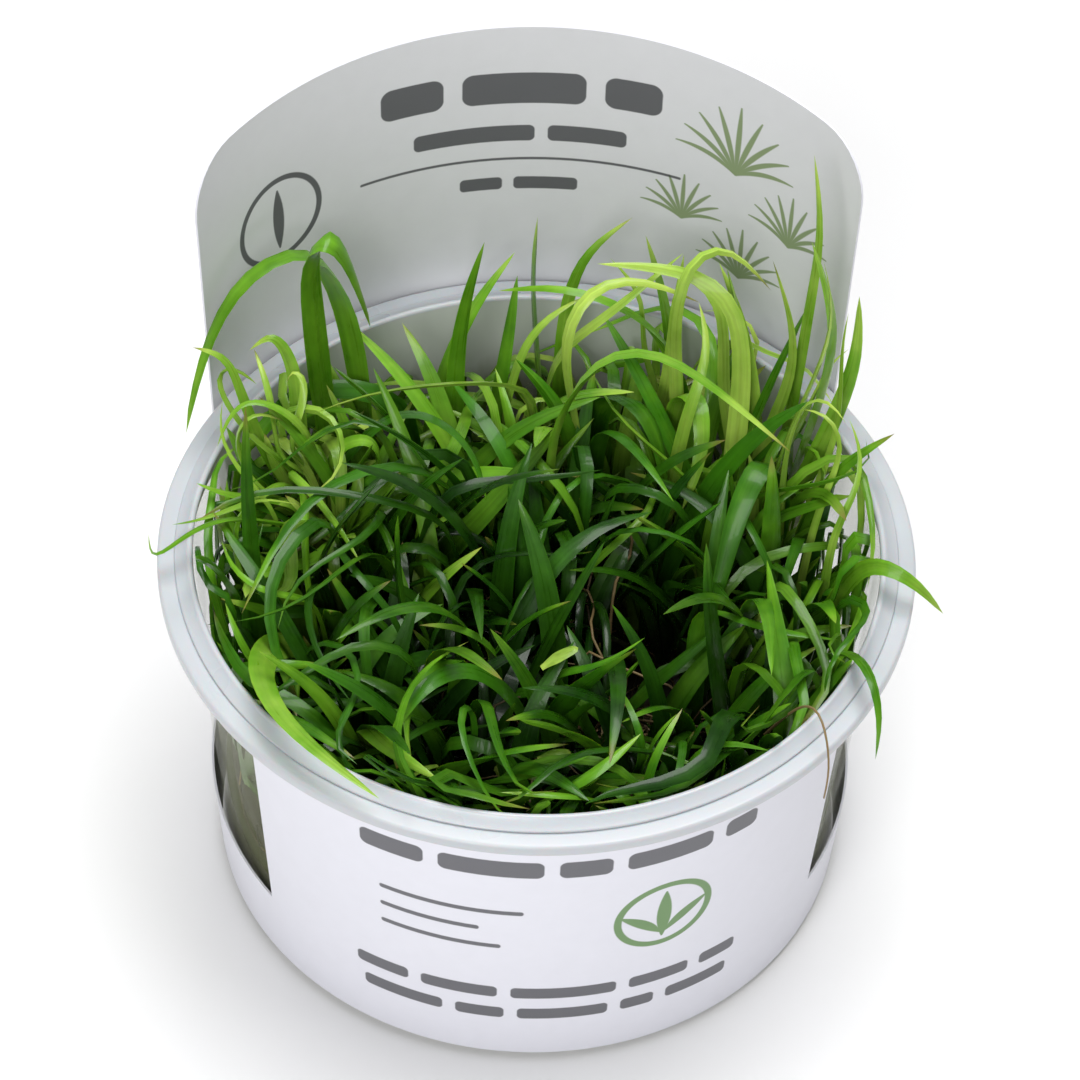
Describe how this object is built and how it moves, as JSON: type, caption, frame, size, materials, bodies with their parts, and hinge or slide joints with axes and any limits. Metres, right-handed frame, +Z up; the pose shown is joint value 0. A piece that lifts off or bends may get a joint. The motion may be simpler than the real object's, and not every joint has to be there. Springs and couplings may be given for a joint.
{
  "type": "tissue culture helanthium tenellum",
  "caption": "Dense tuft of narrow-leaved aquarium plantlets on gel in a clear round cup, in a white card sleeve with a tall header at the back.",
  "frame": {"origin": "centre of the cup's flat underside", "axes": "+Z up along the cup's axis, -Y towards the front panel, +Y towards the tall header"},
  "size_m": [0.1043, 0.1039, 0.1002],
  "materials": {
    "clear_plastic": "clear, glossy, thin injection-moulded wall",
    "white_card": null,
    "nutrient_gel": "wet, soft, olive-green translucent gel",
    "roots": "tangled fine roots, moist",
    "leaf": "glossy, slightly translucent fresh green blades"
  },
  "bodies": {
    "root": {"card_sleeve": "white_card", "cup": "clear_plastic", "nutrient_gel": "nutrient_gel", "plantlet_01": "leaf", "plantlet_02": "leaf", "plantlet_03": "leaf", "plantlet_04": "leaf", "plantlet_05": "leaf", "plantlet_06": "leaf", "plantlet_07": "leaf", "plantlet_08": "leaf", "plantlet_09": "leaf", "plantlet_10": "leaf", "plantlet_11": "leaf", "plantlet_12": "leaf", "plantlet_13": "leaf", "plantlet_14": "leaf", "plantlet_15": "leaf", "plantlet_16": "leaf", "plantlet_17": "leaf", "plantlet_18": "leaf", "plantlet_19": "leaf", "plantlet_20": "leaf", "plantlet_21": "leaf", "plantlet_22": "leaf", "plantlet_23": "leaf", "plantlet_24": "leaf", "plantlet_25": "leaf", "plantlet_26": "leaf", "plantlet_27": "leaf", "plantlet_28": "leaf", "plantlet_29": "leaf", "plantlet_30": "leaf", "plantlet_31": "leaf", "plantlet_32": "leaf", "plantlet_33": "leaf", "plantlet_34": "leaf", "plantlet_35": "leaf", "plantlet_36": "leaf", "plantlet_37": "leaf", "plantlet_38": "leaf", "plantlet_39": "leaf", "plantlet_40": "leaf", "plantlet_41": "leaf", "plantlet_42": "leaf", "plantlet_43": "leaf", "plantlet_44": "leaf", "plantlet_45": "leaf", "plantlet_46": "leaf", "plantlet_47": "leaf", "plantlet_48": "leaf", "root_mat": "roots"}
  },
  "joints": []
}
